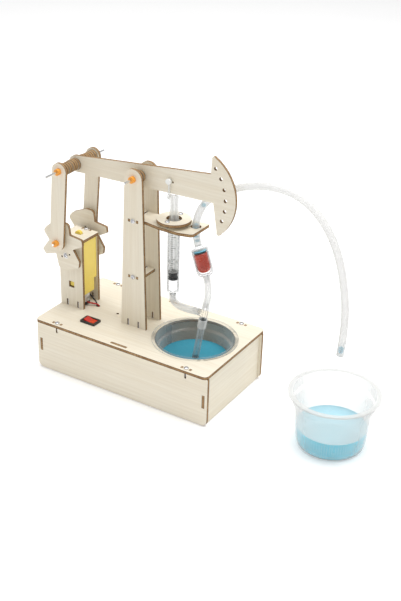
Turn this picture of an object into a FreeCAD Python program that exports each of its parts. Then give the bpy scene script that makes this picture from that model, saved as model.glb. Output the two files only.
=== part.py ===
import FreeCAD, Part
import math
import os

# Motorised wooden pump-jack water pump kit. Millimetres, +Z up, +X along the beam towards the
# horse head, the electrical side (switch) towards -Y. The layout is drawn about the centre of the
# wooden base, then moved so that the origin is the centre of the whole footprint on the table.

V = FreeCAD.Vector
Z_AXIS = V(0, 0, 1)
Y_AXIS = V(0, 1, 0)
X_AXIS = V(1, 0, 0)

# ---------------------------------------------------------------- driving dimensions
PLY = 2.5                       # plywood thickness
BASE_LENGTH = 170.0
BASE_WIDTH = 95.0
BASE_HEIGHT = 47.0
OVERHANG = 2.5                  # the deck stands proud of the walls
DECK_CORNER = 4.0
WALL_CORNER = 5.0

JOINT_X = 64.2                  # screwed joints between deck and long walls
JOINT_PITCH = 3.9               # from the screw to each small tab beside it
SMALL_TAB = 2.2
MID_TAB = 16.0
MID_TAB_X = -1.0
END_TAB = 12.0
END_TAB_Z = 22.4
SCREW_SHANK = 1.6
SCREW_LENGTH = 8.0
SCREW_HEAD = 4.0
SCREW_HEAD_HEIGHT = 1.3

TOWER_X = -73.0
TOWER_WIDTH = 24.0
GEARBOX_THICK = 18.8
GEARBOX_WIDE = 22.4
SHAFT_Z = 98.0
SHAFT_FROM_END = 11.1           # output shaft to the end face of the gearbox
SHAFT_LENGTH = 37.0
SHAFT_DIAMETER = 5.4
SHAFT_FLATS = 3.7
PLATE_IN = GEARBOX_THICK / 2    # inner face of the motor plates and of the legs
PLATE_OUT = PLATE_IN + PLY

LEG_X = -8.8
LEG_FOOT = 24.8
LEG_HEAD_RADIUS = 8.3
PIVOT_Z = 179.0

AXLE = 2.0                      # steel axle diameter
AXLE_FIT = 0.05                 # radial clearance of a turning axle
BUSH_DIAMETER = 5.4
BUSH_LENGTH = 3.0
WASHER_DIAMETER = 10.0
WASHER_SLACK = 0.35             # radial, on the axle
WASHER_OFFSETS = [(0.18, -0.22), (-0.2, -0.1), (0.05, 0.24), (0.22, 0.02), (-0.12, -0.26)]

BEAM_REST_DEG = 3.8             # the head stands this much high at rest
TAIL_ARM = 64.4
BEAM_TAIL_RADIUS = 7.0
TAIL_WASHERS = 8
CRANK_RADIUS = 13.2
CRANK_DEG = 113.0               # direction of the crank pin from the motor shaft
CRANK_Y = 16.0                  # inner face of each crank
ROD_RADIUS = 7.0

PLATFORM_Z = 142.05             # underside of the syringe platform
PLATFORM_END = 45.7
BRACE_Z = 92.25
SYRINGE_X = 22.5
BARREL_DIAMETER = 10.2
BARREL_BORE = 8.7
HOSE = 6.0
HOSE_BORE = 4.2
LINK_U = 27.8                   # plunger link pin, along the beam from the pivot
LINK_LENGTH = 13.0
LINK_PIN_RADIUS = 1.1

SUMP_X = 45.0
CUP_HEIGHT = 46.5
CUP_RIM_RADIUS = 36.0
CUP_WALL = 1.0
SUMP_WATER = 28.5               # water level above the floor of the cup
RECEIVER_X = 176.3
RECEIVER_Y = -7.9
RECEIVER_WATER = 16.5

SWITCH_X = -43.3
SWITCH_Y = -25.5
SWITCH_LONG = 15.0
SWITCH_WIDE = 10.5

DECK_TOP = BASE_HEIGHT
DECK_UNDER = BASE_HEIGHT - PLY
WALL_OUT = BASE_WIDTH / 2 - OVERHANG
WALL_MID = WALL_OUT - PLY / 2
END_OUT = BASE_LENGTH / 2 - OVERHANG
GEARBOX_TOP = SHAFT_Z + SHAFT_FROM_END
ROD_IN = PLY / 2 + 0.05 + TAIL_WASHERS * PLY + 0.05
ROD_OUT = ROD_IN + PLY

# ---------------------------------------------------------------- linkage geometry (x, z)
PIVOT = (LEG_X, PIVOT_Z)
SHAFT = (TOWER_X, SHAFT_Z)


def turned(point, centre, degrees):
    """A point of the XZ plane turned about a centre, head-up positive."""
    c = math.cos(math.radians(degrees))
    s = math.sin(math.radians(degrees))
    dx = point[0] - centre[0]
    dz = point[1] - centre[1]
    return (centre[0] + dx * c - dz * s, centre[1] + dx * s + dz * c)


def on_beam(u, w):
    """A point of the beam, u towards the head and w up, at rest."""
    return turned((PIVOT[0] + u, PIVOT[1] + w), PIVOT, BEAM_REST_DEG)


TAIL = on_beam(-TAIL_ARM, 0)
CRANK_PIN = (SHAFT[0] + CRANK_RADIUS * math.cos(math.radians(CRANK_DEG)),
             SHAFT[1] + CRANK_RADIUS * math.sin(math.radians(CRANK_DEG)))
ROD_LENGTH = math.dist(TAIL, CRANK_PIN)
LINK_PIN = on_beam(LINK_U, 0)


def beam_angle_for(distance):
    """Head-up angle from rest when the tail is this far from the motor shaft."""
    ground = math.dist(SHAFT, PIVOT)
    rest = math.dist(SHAFT, TAIL)

    def corner(side):
        cosine = (TAIL_ARM ** 2 + ground ** 2 - side ** 2) / (2 * TAIL_ARM * ground)
        return math.degrees(math.acos(cosine))
    return corner(rest) - corner(distance)


BEAM_LOW = beam_angle_for(ROD_LENGTH + CRANK_RADIUS)
BEAM_HIGH = beam_angle_for(ROD_LENGTH - CRANK_RADIUS)


# ---------------------------------------------------------------- helpers
def place(plane, a, b, c):
    if plane == "xy":
        return V(a, b, c)
    if plane == "xz":
        return V(a, c, b)
    return V(c, a, b)


NORMALS = {"xy": Z_AXIS, "xz": Y_AXIS, "yz": X_AXIS}


def outline(corners, plane, level):
    """Closed wire through (a, b, corner radius) points."""
    edges = []
    joints = []
    count = len(corners)
    for i in range(count):
        before = V(*corners[i - 1][:2], 0)
        here = V(*corners[i][:2], 0)
        after = V(*corners[(i + 1) % count][:2], 0)
        radius = corners[i][2]
        back = (before - here).normalize()
        ahead = (after - here).normalize()
        if radius < 0.01:
            joints.append((here, None, here))
            continue
        half = back.getAngle(ahead) / 2
        reach = radius / math.tan(half)
        bisector = (back + ahead).normalize()
        middle = here + bisector * (radius / math.sin(half) - radius)
        joints.append((here + back * reach, middle, here + ahead * reach))

    def flat(p):
        return place(plane, p.x, p.y, level)
    for i in range(count):
        start, middle, end = joints[i]
        following = joints[(i + 1) % count][0]
        if middle is not None:
            edges.append(Part.Arc(flat(start), flat(middle), flat(end)).toShape())
        if (following - end).Length > 1e-6:
            edges.append(Part.LineSegment(flat(end), flat(following)).toShape())
    return Part.Wire(edges)


def sheet(corners, plane, level, thick=PLY):
    """A flat piece cut from sheet, starting at level on its plane's normal."""
    return Part.Face(outline(corners, plane, level)).extrude(NORMALS[plane] * thick)


def block(x0, x1, y0, y1, z0, z1):
    return Part.makeBox(x1 - x0, y1 - y0, z1 - z0, V(x0, y0, z0))


def cylinder(radius, start, end):
    axis = end - start
    return Part.makeCylinder(radius, axis.Length, start, axis)


def along_y(radius, point, y0, y1):
    return cylinder(radius, V(point[0], y0, point[1]), V(point[0], y1, point[1]))


def ring_y(outer, inner, point, y0, y1):
    return along_y(outer, point, y0, y1).cut(along_y(inner, point, y0 - 1, y1 + 1))


def cut_all(shape, tools):
    for tool in tools:
        shape = shape.cut(tool)
    return shape


def joined(shapes):
    """One solid from touching pieces."""
    whole = shapes[0].multiFuse(shapes[1:])
    whole = whole.removeSplitter()
    return whole.Solids[0] if len(whole.Solids) == 1 else whole


def mirrored(shape):
    """The far-side twin of a near-side piece."""
    return shape.mirror(V(0, 0, 0), Y_AXIS)


def both_sides(shape):
    return [shape, mirrored(shape)]


def revolved(profile, base, axis=Z_AXIS):
    """Solid turned from (radius, height) points about an axis through base."""
    points = [V(r, 0, h) for r, h in profile]
    points.append(points[0])
    solid = Part.Face(Part.makePolygon(points)).revolve(V(0, 0, 0), Z_AXIS, 360)
    solid = Part.Solid(solid) if solid.ShapeType == "Shell" else solid
    turn = FreeCAD.Rotation(Z_AXIS, axis)
    solid.Placement = FreeCAD.Placement(base, turn)
    return solid


def route_wire(points, name):
    """Straight runs joined by tangent arcs; prints the arc radii."""
    points = [V(*p) for p in points]
    arcs = []
    for i in range(1, len(points) - 1):
        back = points[i - 1] - points[i]
        ahead = points[i + 1] - points[i]
        shorter = min(back.Length, ahead.Length)
        turn = math.pi - back.getAngle(ahead)
        radius = 0.45 * shorter / math.tan(turn / 2)
        reach = 0.45 * shorter
        back = back.normalize()
        ahead = ahead.normalize()
        half = (math.pi - turn) / 2
        middle = points[i] + (back + ahead).normalize() * (radius / math.sin(half) - radius)
        arcs.append((points[i] + back * reach, middle, points[i] + ahead * reach, radius))
    edges = []
    here = points[0]
    for start, middle, end, radius in arcs:
        edges.append(Part.LineSegment(here, start).toShape())
        edges.append(Part.Arc(start, middle, end).toShape())
        here = end
    edges.append(Part.LineSegment(here, points[-1]).toShape())
    wire = Part.Wire(edges)
    print(name, "length", round(wire.Length, 1), "radii", [round(a[3], 1) for a in arcs])
    return wire


def tube(points, diameter, name, bore=0):
    """Round tube along a route; compared with section times length."""
    wire = route_wire(points, name)
    start = V(*points[0])
    direction = V(*points[1]) - start

    def swept(radius):
        circle = Part.Wire(Part.makeCircle(radius, start, direction))
        return wire.makePipeShell([circle], True, False)
    body = swept(diameter / 2)
    section = math.pi * diameter ** 2 / 4
    if bore:
        body = body.cut(swept(bore / 2))
        section -= math.pi * bore ** 2 / 4
    print(name, "volume ratio", round(body.Volume / (section * wire.Length), 4), body.isValid())
    return body


# ---------------------------------------------------------------- wooden joints and screws
def screw(head, direction):
    """Small self-tapping screw: head on the surface, shank along direction."""
    direction = direction.normalize()
    cap = cylinder(SCREW_HEAD / 2, head, head - direction * SCREW_HEAD_HEIGHT)
    recess = cylinder(0.7, head - direction * (SCREW_HEAD_HEIGHT + 0.1),
                      head - direction * (SCREW_HEAD_HEIGHT - 0.7))
    shank = cylinder(SCREW_SHANK / 2, head, head + direction * SCREW_LENGTH)
    return cap.cut(recess).fuse(shank).removeSplitter().Solids[0]


SLIT_DEPTH = SCREW_LENGTH - PLY + 0.6


def joint_tabs(x, y, z0, z1):
    """Two small square tabs, one each side of a screw."""
    return [block(x + side * JOINT_PITCH - SMALL_TAB / 2, x + side * JOINT_PITCH + SMALL_TAB / 2,
                  y - PLY / 2, y + PLY / 2, z0, z1) for side in (-1, 1)]


def screw_hole(point, axis, depth=PLY + 2):
    return cylinder(SCREW_SHANK / 2, point - axis * 1, point + axis * (depth - 1))


# ---------------------------------------------------------------- base box
PLATE_MID = (PLATE_IN + PLATE_OUT) / 2
TOWER_SLITS = (-4.8, 6.3)       # screws up into the motor plates, from the plate's middle
LEG_SLITS = (-5.2, 5.2)         # and into the legs
WIRE_HOLE = (-54.7, 0.9)
SPARE_HOLE = (-32.7, -0.9)
POST_TAB = 5.0                  # half length of the tab that locates each post in the deck


def post_screw_places():
    places = []
    for y in (-PLATE_MID, PLATE_MID):
        places += [(TOWER_X + d, y) for d in TOWER_SLITS]
        places += [(LEG_X + d, y) for d in LEG_SLITS]
    return places


def post_tabs():
    tabs = []
    for y in (-PLATE_MID, PLATE_MID):
        for x in (TOWER_X + 0.5, LEG_X):
            tabs.append(block(x - 3.0, x + 3.0, y - PLY / 2, y + PLY / 2, DECK_UNDER, DECK_TOP))
    return tabs


CUP_HOLE_RADIUS = 33.4


def make_deck():
    half_x = BASE_LENGTH / 2
    half_y = BASE_WIDTH / 2
    corners = [(x, y, DECK_CORNER) for x, y in
               ((-half_x, -half_y), (half_x, -half_y), (half_x, half_y), (-half_x, half_y))]
    deck = sheet(corners, "xy", DECK_UNDER)
    low = DECK_UNDER - 1
    high = DECK_TOP + 1
    tools = [cylinder(CUP_HOLE_RADIUS, V(SUMP_X, 0, low), V(SUMP_X, 0, high)),
             cylinder(1.8, V(*WIRE_HOLE, low), V(*WIRE_HOLE, high)),
             cylinder(1.2, V(*SPARE_HOLE, low), V(*SPARE_HOLE, high)),
             block(SWITCH_X - 6.7, SWITCH_X + 6.7, SWITCH_Y - 4.3, SWITCH_Y + 4.3, low, high)]
    tools += post_tabs()
    for y in (-WALL_MID, WALL_MID):
        tools.append(block(MID_TAB_X - MID_TAB / 2, MID_TAB_X + MID_TAB / 2, y - PLY / 2, y + PLY / 2,
                           low, high))
        for x in (-JOINT_X, JOINT_X):
            tools += joint_tabs(x, y, low, high)
            tools.append(screw_hole(V(x, y, DECK_TOP), -Z_AXIS))
    for x, y in post_screw_places():
        tools.append(screw_hole(V(x, y, DECK_UNDER), Z_AXIS))
    return cut_all(deck, tools)


def make_long_wall():
    """Front wall; the back wall is its twin."""
    half_x = BASE_LENGTH / 2
    y0 = -WALL_OUT
    corners = [(-half_x, 0, WALL_CORNER), (half_x, 0, WALL_CORNER), (half_x, DECK_UNDER, 2.0),
               (-half_x, DECK_UNDER, 2.0)]
    wall = sheet(corners, "xz", y0)
    parts = [wall, block(MID_TAB_X - MID_TAB / 2, MID_TAB_X + MID_TAB / 2, y0, y0 + PLY,
                         DECK_UNDER, DECK_TOP)]
    for x in (-JOINT_X, JOINT_X):
        parts += joint_tabs(x, -WALL_MID, DECK_UNDER, DECK_TOP)
    wall = joined(parts)
    tools = []
    for x in (-JOINT_X, JOINT_X):
        tools.append(block(x - SCREW_SHANK / 2, x + SCREW_SHANK / 2, y0 - 1, y0 + PLY + 1,
                           DECK_UNDER - SLIT_DEPTH, DECK_UNDER + 1))
    for side in (-1, 1):
        x = side * (END_OUT - PLY / 2)
        tools.append(block(x - PLY / 2, x + PLY / 2, y0 - 1, y0 + PLY + 1,
                           END_TAB_Z - END_TAB / 2, END_TAB_Z + END_TAB / 2))
    return cut_all(wall, tools)


def make_end_wall(side):
    """Wall between the two long ones, locked into each by one tab."""
    x0 = side * (END_OUT - PLY / 2) - PLY / 2
    inner = WALL_OUT - PLY
    panel = block(x0, x0 + PLY, -inner, inner, 0, DECK_UNDER)
    tabs = [block(x0, x0 + PLY, min(y, y + s * PLY), max(y, y + s * PLY),
                  END_TAB_Z - END_TAB / 2, END_TAB_Z + END_TAB / 2)
            for s, y in ((1, inner), (-1, -inner))]
    return joined([panel] + tabs)


# ---------------------------------------------------------------- switch, battery and wires
SWITCH_TRAVEL_DEG = 20.0       # from one side to the other
ROCKER_AXIS_Z = DECK_TOP + 0.2
ROCKER_WIDE = 6.4
TRUNNION_RADIUS = 0.8
TRUNNION_TIP = 3.85            # from the middle of the switch


def make_switch_bezel():
    half_long = SWITCH_LONG / 2
    half_wide = SWITCH_WIDE / 2
    flange = sheet([(SWITCH_X + a * half_long, SWITCH_Y + b * half_wide, 1.0)
                    for a, b in ((-1, -1), (1, -1), (1, 1), (-1, 1))], "xy", DECK_TOP, 1.6)
    body = block(SWITCH_X - 6.6, SWITCH_X + 6.6, SWITCH_Y - 4.2, SWITCH_Y + 4.2,
                 DECK_TOP - 12.5, DECK_TOP)
    well = block(SWITCH_X - 5.7, SWITCH_X + 5.7, SWITCH_Y - 3.5, SWITCH_Y + 3.5,
                 DECK_TOP - 5.5, DECK_TOP + 3)
    blades = [block(SWITCH_X + dx - 1.0, SWITCH_X + dx + 1.0, SWITCH_Y - 0.4, SWITCH_Y + 0.4,
                    DECK_TOP - 17.5, DECK_TOP - 12.5) for dx in (-4.0, 4.0)]
    sockets = along_y(TRUNNION_RADIUS + AXLE_FIT, (SWITCH_X, ROCKER_AXIS_Z),
                      SWITCH_Y - TRUNNION_TIP - 0.1, SWITCH_Y + TRUNNION_TIP + 0.1)
    return cut_all(joined([flange, body] + blades), [well, sockets])


def make_rocker():
    """Dished rocker on two small trunnions, tipped so that its raised end is towards -X."""
    half = 5.2
    profile = [(-half, 2.1, 0.4), (0, 1.1, 2.0), (half, 2.1, 0.4), (half - 1.2, -3.2, 0.6),
               (-half + 1.2, -3.2, 0.6)]
    corners = [(SWITCH_X + a, ROCKER_AXIS_Z + b, r) for a, b, r in profile]
    rocker = sheet(corners, "xz", SWITCH_Y - ROCKER_WIDE / 2, ROCKER_WIDE)
    rocker.rotate(V(SWITCH_X, 0, ROCKER_AXIS_Z), Y_AXIS, SWITCH_TRAVEL_DEG / 2)
    trunnions = along_y(TRUNNION_RADIUS, (SWITCH_X, ROCKER_AXIS_Z),
                        SWITCH_Y - TRUNNION_TIP, SWITCH_Y + TRUNNION_TIP)
    return joined([rocker, trunnions])


HOLDER_X0 = -62.0
HOLDER_LONG = 57.0
HOLDER_HIGH = 31.0
HOLDER_DEEP = 15.0
HOLDER_Z0 = 6.0
CELL_RADIUS = 7.1
CELL_LONG = 50.0


def make_battery_holder():
    """Two-cell tray taped to the inside of the back wall, open towards -Y."""
    y1 = WALL_OUT - PLY
    y0 = y1 - HOLDER_DEEP
    wall = 1.2
    tray = block(HOLDER_X0, HOLDER_X0 + HOLDER_LONG, y0, y1, HOLDER_Z0, HOLDER_Z0 + HOLDER_HIGH)
    inside = block(HOLDER_X0 + wall, HOLDER_X0 + HOLDER_LONG - wall, y0 - 1, y1 - wall,
                   HOLDER_Z0 + wall, HOLDER_Z0 + HOLDER_HIGH - wall)
    return tray.cut(inside)


def cell_places():
    y = WALL_OUT - PLY - 1.2 - CELL_RADIUS
    middle = HOLDER_Z0 + HOLDER_HIGH / 2
    return [(y, middle - CELL_RADIUS - 0.05), (y, middle + CELL_RADIUS + 0.05)]


def make_cells():
    cells = []
    x0 = HOLDER_X0 + 3.4
    for (y, z), flip in zip(cell_places(), (False, True)):
        body = cylinder(CELL_RADIUS, V(x0, y, z), V(x0 + CELL_LONG - 1.5, y, z))
        tip = cylinder(2.7, V(x0 + CELL_LONG - 1.5, y, z), V(x0 + CELL_LONG, y, z))
        cell = body.fuse(tip).removeSplitter()
        if flip:
            cell = cell.mirror(V(x0 + CELL_LONG / 2, 0, 0), X_AXIS)
        cells.append(cell.Solids[0])
    return Part.makeCompound(cells)


def make_contacts():
    """Two tabbed contacts at the left end of the tray and one link plate at the right."""
    y = cell_places()[0][0]
    x_low = HOLDER_X0 + 1.2
    x_high = HOLDER_X0 + HOLDER_LONG - 1.2
    levels = [z for _, z in cell_places()]
    plates = [block(x_high - 0.6, x_high, y - 4, y + 4, levels[0] - 4.5, levels[1] + 4.5)]
    for z in levels:
        plate = block(x_low, x_low + 0.6, y - 4, y + 4, z - 4.5, z + 4.5)
        tab = block(x_low, x_low + 0.6, LEAD_END_Y - 1.5, y - 4, z - 1.5, z + 1.5)
        plates.append(joined([plate, tab]))
    return Part.makeCompound(plates)


WIRE = 1.3
LEAD_END_Y = 29.5
LEAD_X = HOLDER_X0 + 1.8 + WIRE / 2     # beside the contact tabs


# ---------------------------------------------------------------- motor tower
SQUARE_HOLE_Z = 68.2
CASE_STEP_Z = 71.0
CASE_FOOT_Z = 58.0
CAN_FOOT_Z = 51.0
MOTOR_FOOT_Z = 48.4


def make_near_motor_plate():
    half = TOWER_WIDTH / 2
    corners = [(TOWER_X - half, DECK_TOP, 0), (TOWER_X + half, DECK_TOP, 0),
               (TOWER_X + half, GEARBOX_TOP, 0.8), (TOWER_X - half, GEARBOX_TOP, 0.8)]
    plate = sheet(corners, "xz", -PLATE_OUT)
    tab = block(TOWER_X + 0.5 - 3.0, TOWER_X + 0.5 + 3.0, -PLATE_OUT, -PLATE_IN, DECK_UNDER, DECK_TOP)
    plate = joined([plate, tab] + joint_tabs(TOWER_X, -PLATE_MID, GEARBOX_TOP, GEARBOX_TOP + PLY))
    tools = [along_y(4.2, SHAFT, -PLATE_OUT - 1, -PLATE_IN + 1),
             block(TOWER_X - 2.8, TOWER_X + 2.8, -PLATE_OUT - 1, -PLATE_IN + 1,
                   SQUARE_HOLE_Z - 2.8, SQUARE_HOLE_Z + 2.8),
             block(TOWER_X - SCREW_SHANK / 2, TOWER_X + SCREW_SHANK / 2, -PLATE_OUT - 1, -PLATE_IN + 1,
                   GEARBOX_TOP - SLIT_DEPTH, GEARBOX_TOP + 1)]
    for dx in TOWER_SLITS:
        tools.append(block(TOWER_X + dx - SCREW_SHANK / 2, TOWER_X + dx + SCREW_SHANK / 2,
                           -PLATE_OUT - 1, -PLATE_IN + 1, DECK_TOP - 0.01, DECK_TOP + SLIT_DEPTH))
    return cut_all(plate, tools)


def make_tower_cap():
    half = TOWER_WIDTH / 2
    corners = [(TOWER_X - half, -PLATE_OUT, 0.8), (TOWER_X + half, -PLATE_OUT, 0.8),
               (TOWER_X + half, PLATE_OUT, 0.8), (TOWER_X - half, PLATE_OUT, 0.8)]
    cap = sheet(corners, "xy", GEARBOX_TOP)
    tools = [block(TOWER_X - 3.2, TOWER_X + 3.2, -1.8, 1.8, GEARBOX_TOP - 1, GEARBOX_TOP + PLY + 1)]
    for y in (-PLATE_MID, PLATE_MID):
        tools += joint_tabs(TOWER_X, y, GEARBOX_TOP - 1, GEARBOX_TOP + PLY + 1)
        tools.append(screw_hole(V(TOWER_X, y, GEARBOX_TOP + PLY), -Z_AXIS))
    return cut_all(cap, tools)


def make_gearbox_casing():
    half = GEARBOX_WIDE / 2
    box = sheet([(TOWER_X - half, -PLATE_IN, 1.2), (TOWER_X + half, -PLATE_IN, 1.2),
                 (TOWER_X + half, PLATE_IN, 1.2), (TOWER_X - half, PLATE_IN, 1.2)],
                "xy", CASE_STEP_Z, GEARBOX_TOP - CASE_STEP_Z)
    sleeve = sheet([(TOWER_X - half, CASE_FOOT_Z, 2.5), (TOWER_X + half, CASE_FOOT_Z, 2.5),
                    (TOWER_X + half, CASE_STEP_Z, 0), (TOWER_X - half, CASE_STEP_Z, 0)],
                   "xz", -PLATE_IN, GEARBOX_THICK - 4.4)
    tab = sheet([(TOWER_X - 3.0, GEARBOX_TOP, 0), (TOWER_X + 3.0, GEARBOX_TOP, 0),
                 (TOWER_X + 3.0, GEARBOX_TOP + 5, 2.4), (TOWER_X - 3.0, GEARBOX_TOP + 5, 2.4)],
                "xz", -1.5, 3.0)
    nub = block(TOWER_X - 2.0, TOWER_X + 2.0, -PLATE_IN - 1.2, -PLATE_IN,
                SQUARE_HOLE_Z - 1.8, SQUARE_HOLE_Z + 1.8)
    casing = joined([box, sleeve, tab, nub])
    tools = [along_y(SHAFT_DIAMETER / 2 + AXLE_FIT, SHAFT, -PLATE_IN - 1, PLATE_IN + 1),
             block(TOWER_X - 10.0, TOWER_X + 10.0, -PLATE_IN + 1.4, PLATE_IN - 6.2,
                   CASE_FOOT_Z - 1, CASE_STEP_Z - 2)]
    return cut_all(casing, tools)


def make_motor_can():
    """Small flat-sided motor, in the sleeve of the gearbox."""
    middle = (-PLATE_IN + 1.4 + PLATE_IN - 6.2) / 2
    half_wide = 9.9
    half_thick = (GEARBOX_THICK - 7.6) / 2 - 0.05
    corners = [(TOWER_X + a * half_wide, middle + b * half_thick, 4.0)
               for a, b in ((-1, -1), (1, -1), (1, 1), (-1, 1))]
    return sheet(corners, "xy", CAN_FOOT_Z, CASE_STEP_Z - 2.2 - CAN_FOOT_Z)


def make_motor_end_cap():
    middle = (-PLATE_IN + 1.4 + PLATE_IN - 6.2) / 2
    half_wide = 9.7
    half_thick = (GEARBOX_THICK - 7.6) / 2 - 0.25
    corners = [(TOWER_X + a * half_wide, middle + b * half_thick, 3.8)
               for a, b in ((-1, -1), (1, -1), (1, 1), (-1, 1))]
    cap = sheet(corners, "xy", MOTOR_FOOT_Z, CAN_FOOT_Z - MOTOR_FOOT_Z)
    return cap


# ---------------------------------------------------------------- cranks and rods
CRANK_OUT = CRANK_Y + PLY
PIN_GAP = 0.3                   # the rod's pin stops this far from the crank


def crank_point(u, v):
    """A point of the crank plate, u from the shaft towards the pin."""
    c = math.cos(math.radians(CRANK_DEG))
    s = math.sin(math.radians(CRANK_DEG))
    return (SHAFT[0] + u * c - v * s, SHAFT[1] + u * s + v * c)


CRANK_HALF = [(-13.6, 0.0, 0), (-13.0, 8.6, 2.0), (-8.0, 11.8, 3.0), (3.6, 9.8, 0.6),
              (4.6, 21.0, 1.2), (9.8, 22.6, 1.6), (16.2, 11.8, 0.6), (25.6, 14.4, 3.4),
              (28.8, 7.5, 6.0)]


def make_near_crank():
    left = [(u, v, r) for u, v, r in CRANK_HALF[1:]]
    right = [(u, -v, r) for u, v, r in reversed(CRANK_HALF[1:])]
    corners = [(*crank_point(u, v), r) for u, v, r in left + right]
    plate = sheet(corners, "xz", -CRANK_OUT)
    tools = [double_flat(-CRANK_OUT - 1, -CRANK_Y + 1)]
    for v in (-4.4, 4.4):
        tools.append(along_y(0.8, crank_point(0, v), -CRANK_OUT - 1, -CRANK_Y + 1))
    tools.append(along_y(AXLE / 2 + AXLE_FIT, CRANK_PIN, -CRANK_OUT - 1, -CRANK_Y + 1))
    return cut_all(plate, tools)


def double_flat(y0, y1):
    """Shaft end with two flats that face along the crank's length."""
    stock = along_y(SHAFT_DIAMETER / 2, SHAFT, y0, y1)
    half = SHAFT_FLATS / 2
    corners = [(*crank_point(u, v), 0) for u, v in ((-4, -half), (4, -half), (4, half), (-4, half))]
    return stock.common(sheet(corners, "xz", y0, y1 - y0))


def make_motor_shaft():
    end = SHAFT_LENGTH / 2
    round_end = CRANK_Y - 0.3
    parts = [along_y(SHAFT_DIAMETER / 2, SHAFT, -round_end, round_end),
             double_flat(-end, -round_end), double_flat(round_end, end)]
    shaft = joined(parts)
    return cut_all(shaft, [along_y(SCREW_SHANK / 2, SHAFT, -end - 1, -end + 6),
                           along_y(SCREW_SHANK / 2, SHAFT, end - 6, end + 1)])


def make_crank_screw():
    head = along_y(2.0, SHAFT, -CRANK_OUT - 1.2, -CRANK_OUT)
    shank = along_y(SCREW_SHANK / 2, SHAFT, -CRANK_OUT, -CRANK_OUT + 5)
    recess = along_y(0.7, SHAFT, -CRANK_OUT - 1.3, -CRANK_OUT - 0.6)
    return joined([head, shank]).cut(recess)


def slot_outline(low, high, radius):
    """Round-ended strip between two points of the XZ plane, as corner points."""
    dx = high[0] - low[0]
    dz = high[1] - low[1]
    length = math.hypot(dx, dz)
    ux, uz = dx / length, dz / length
    nx, nz = -uz, ux
    edge = 0.999 * radius
    return [(low[0] - ux * radius + nx * radius, low[1] - uz * radius + nz * radius, edge),
            (high[0] + ux * radius + nx * radius, high[1] + uz * radius + nz * radius, edge),
            (high[0] + ux * radius - nx * radius, high[1] + uz * radius - nz * radius, edge),
            (low[0] - ux * radius - nx * radius, low[1] - uz * radius - nz * radius, edge)]


def make_near_rod():
    rod = sheet(slot_outline(CRANK_PIN, TAIL, ROD_RADIUS), "xz", -ROD_OUT)
    return cut_all(rod, [along_y(AXLE / 2 + AXLE_FIT, TAIL, -ROD_OUT - 1, -ROD_IN + 1),
                         along_y(AXLE / 2, CRANK_PIN, -ROD_OUT - 1, -ROD_IN + 1)])


def make_near_rod_pin():
    return along_y(AXLE / 2, CRANK_PIN, -ROD_OUT - BUSH_LENGTH - 2.0, -CRANK_OUT - PIN_GAP)


def make_near_rod_bush():
    return ring_y(BUSH_DIAMETER / 2, AXLE / 2, CRANK_PIN, -ROD_OUT - BUSH_LENGTH, -ROD_OUT)


# ---------------------------------------------------------------- beam
HEAD_HOLE_CENTRE = (35.6, -8.2)
HEAD_HOLE_ARC = 42.0
HEAD_HOLE_START_DEG = 35.6
HEAD_HOLE_STEP_DEG = -12.0
HEAD_HOLES = 6
HEAD_HOLE_DIAMETER = 3.0
TAIL_AXLE_NEAR = -41.0
TAIL_AXLE_FAR = 37.0


def beam_v(u, w):
    x, z = on_beam(u, w)
    return V(x, -PLY / 2, z)


def make_beam():
    """Tapered beam with a horse head whose front edge is one arc."""
    def line(a, b):
        return Part.LineSegment(beam_v(*a), beam_v(*b)).toShape()

    def arc(a, b, c):
        return Part.Arc(beam_v(*a), beam_v(*b), beam_v(*c)).toShape()
    top_root = (65.2, 11.2)
    top_tip = (66.8, 23.2)
    top_round = (67.6, 25.3)
    top_front = (69.8, 24.6)
    low_root = (66.7, -11.9)
    low_back = (69.0, -35.6)
    low_round = (70.3, -38.2)
    low_front = (72.4, -36.9)
    tail_top = (-TAIL_ARM, BEAM_TAIL_RADIUS)
    tail_end = (-TAIL_ARM - BEAM_TAIL_RADIUS, 0)
    tail_low = (-TAIL_ARM, -BEAM_TAIL_RADIUS)
    edges = [line(tail_top, top_root), line(top_root, top_tip), arc(top_tip, top_round, top_front),
             arc(top_front, (86.6, -5.0), low_front), arc(low_front, low_round, low_back),
             line(low_back, low_root), line(low_root, tail_low), arc(tail_low, tail_end, tail_top)]
    beam = Part.Face(Part.Wire(edges)).extrude(Y_AXIS * PLY)
    tools = [along_y(AXLE / 2 + AXLE_FIT, PIVOT, -5, 5), along_y(AXLE / 2, TAIL, -5, 5),
             along_y(LINK_PIN_RADIUS, LINK_PIN, -5, 5), along_y(0.8, on_beam(LINK_U + 2.6, -0.9), -5, 5)]
    for i in range(HEAD_HOLES):
        angle = math.radians(HEAD_HOLE_START_DEG + i * HEAD_HOLE_STEP_DEG)
        hole = on_beam(HEAD_HOLE_CENTRE[0] + HEAD_HOLE_ARC * math.cos(angle),
                       HEAD_HOLE_CENTRE[1] + HEAD_HOLE_ARC * math.sin(angle))
        tools.append(along_y(HEAD_HOLE_DIAMETER / 2, hole, -5, 5))
    return cut_all(beam, tools)


def washer_stack(point, y_start, count):
    """Plywood washers side by side along Y, each hanging a little off centre on its axle."""
    x, z = point
    washers = []
    for i in range(count):
        dx, dz = WASHER_OFFSETS[i % len(WASHER_OFFSETS)]
        y0 = y_start - (i + 1) * PLY
        washers.append(ring_y(WASHER_DIAMETER / 2, AXLE / 2 + WASHER_SLACK, (x + dx, z + dz),
                              y0, y0 + PLY))
    return washers


def make_tail_washers():
    near = washer_stack(TAIL, -PLY / 2 - 0.05, TAIL_WASHERS)
    return Part.makeCompound(near + [mirrored(w) for w in near])


def make_pivot_washers():
    count = 3
    near = washer_stack(PIVOT, -PLATE_IN + count * PLY, count)
    return Part.makeCompound(near + [mirrored(w) for w in near])


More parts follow.
